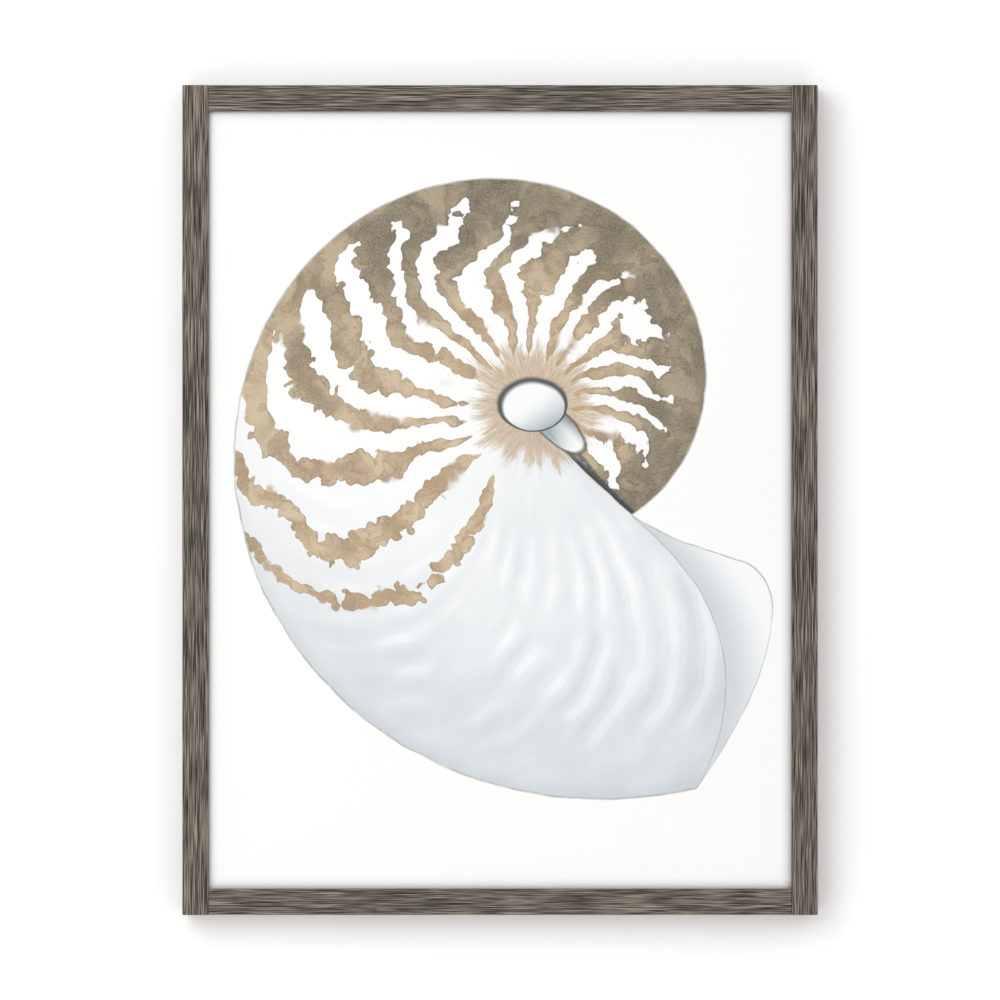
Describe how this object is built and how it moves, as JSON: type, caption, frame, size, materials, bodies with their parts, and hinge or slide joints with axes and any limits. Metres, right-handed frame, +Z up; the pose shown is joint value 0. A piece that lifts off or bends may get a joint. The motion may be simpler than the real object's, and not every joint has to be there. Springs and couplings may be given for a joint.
{
  "type": "framed art print",
  "caption": "Portrait art print of a nautilus behind glass in a slim weathered-wood frame, with a hardboard back and sawtooth hangers for hanging on a wall.",
  "frame": {"origin": "the point on the wall midway between the two nails that the sawtooth hangers sit on", "axes": "+Z up, along the height of the picture; +Y from the picture's face towards the wall, so the picture faces -Y; +X to the right as seen from the front"},
  "size_m": [0.4982, 0.0315, 0.6506],
  "materials": {
    "frame_wood": "weathered grey-brown, wire-brushed grain, dull",
    "glazing": "clear, polished",
    "picture_paper": "matt cold-pressed paper with a printed watercolour",
    "hardboard": "brown pressed fibre, dull",
    "tab_steel": "zinc-plated",
    "nail_steel": "dull steel",
    "hanger_brass": "brass-plated, slightly tarnished",
    "bumper_rubber": "dark, dull"
  },
  "bodies": {
    "root": {"left_stile": "frame_wood", "right_stile": "frame_wood", "top_rail": "frame_wood", "bottom_rail": "frame_wood", "glazing": "glazing", "picture_sheet": "picture_paper", "backing_board": "hardboard", "corner_nail_top_left": "nail_steel", "corner_nail_top_right": "nail_steel", "corner_nail_bottom_left": "nail_steel", "corner_nail_bottom_right": "nail_steel", "tab_left_1": "tab_steel", "tab_left_2": "tab_steel", "tab_left_3": "tab_steel", "tab_left_4": "tab_steel", "tab_right_1": "tab_steel", "tab_right_2": "tab_steel", "tab_right_3": "tab_steel", "tab_right_4": "tab_steel", "tab_top_1": "tab_steel", "tab_top_2": "tab_steel", "tab_top_3": "tab_steel", "tab_bottom_1": "tab_steel", "tab_bottom_2": "tab_steel", "tab_bottom_3": "tab_steel", "hanger_left": "hanger_brass", "hanger_left_pin_1": "hanger_brass", "hanger_left_pin_2": "hanger_brass", "bumper_left": "bumper_rubber", "hanger_right": "hanger_brass", "hanger_right_pin_1": "hanger_brass", "hanger_right_pin_2": "hanger_brass", "bumper_right": "bumper_rubber"}
  },
  "joints": []
}
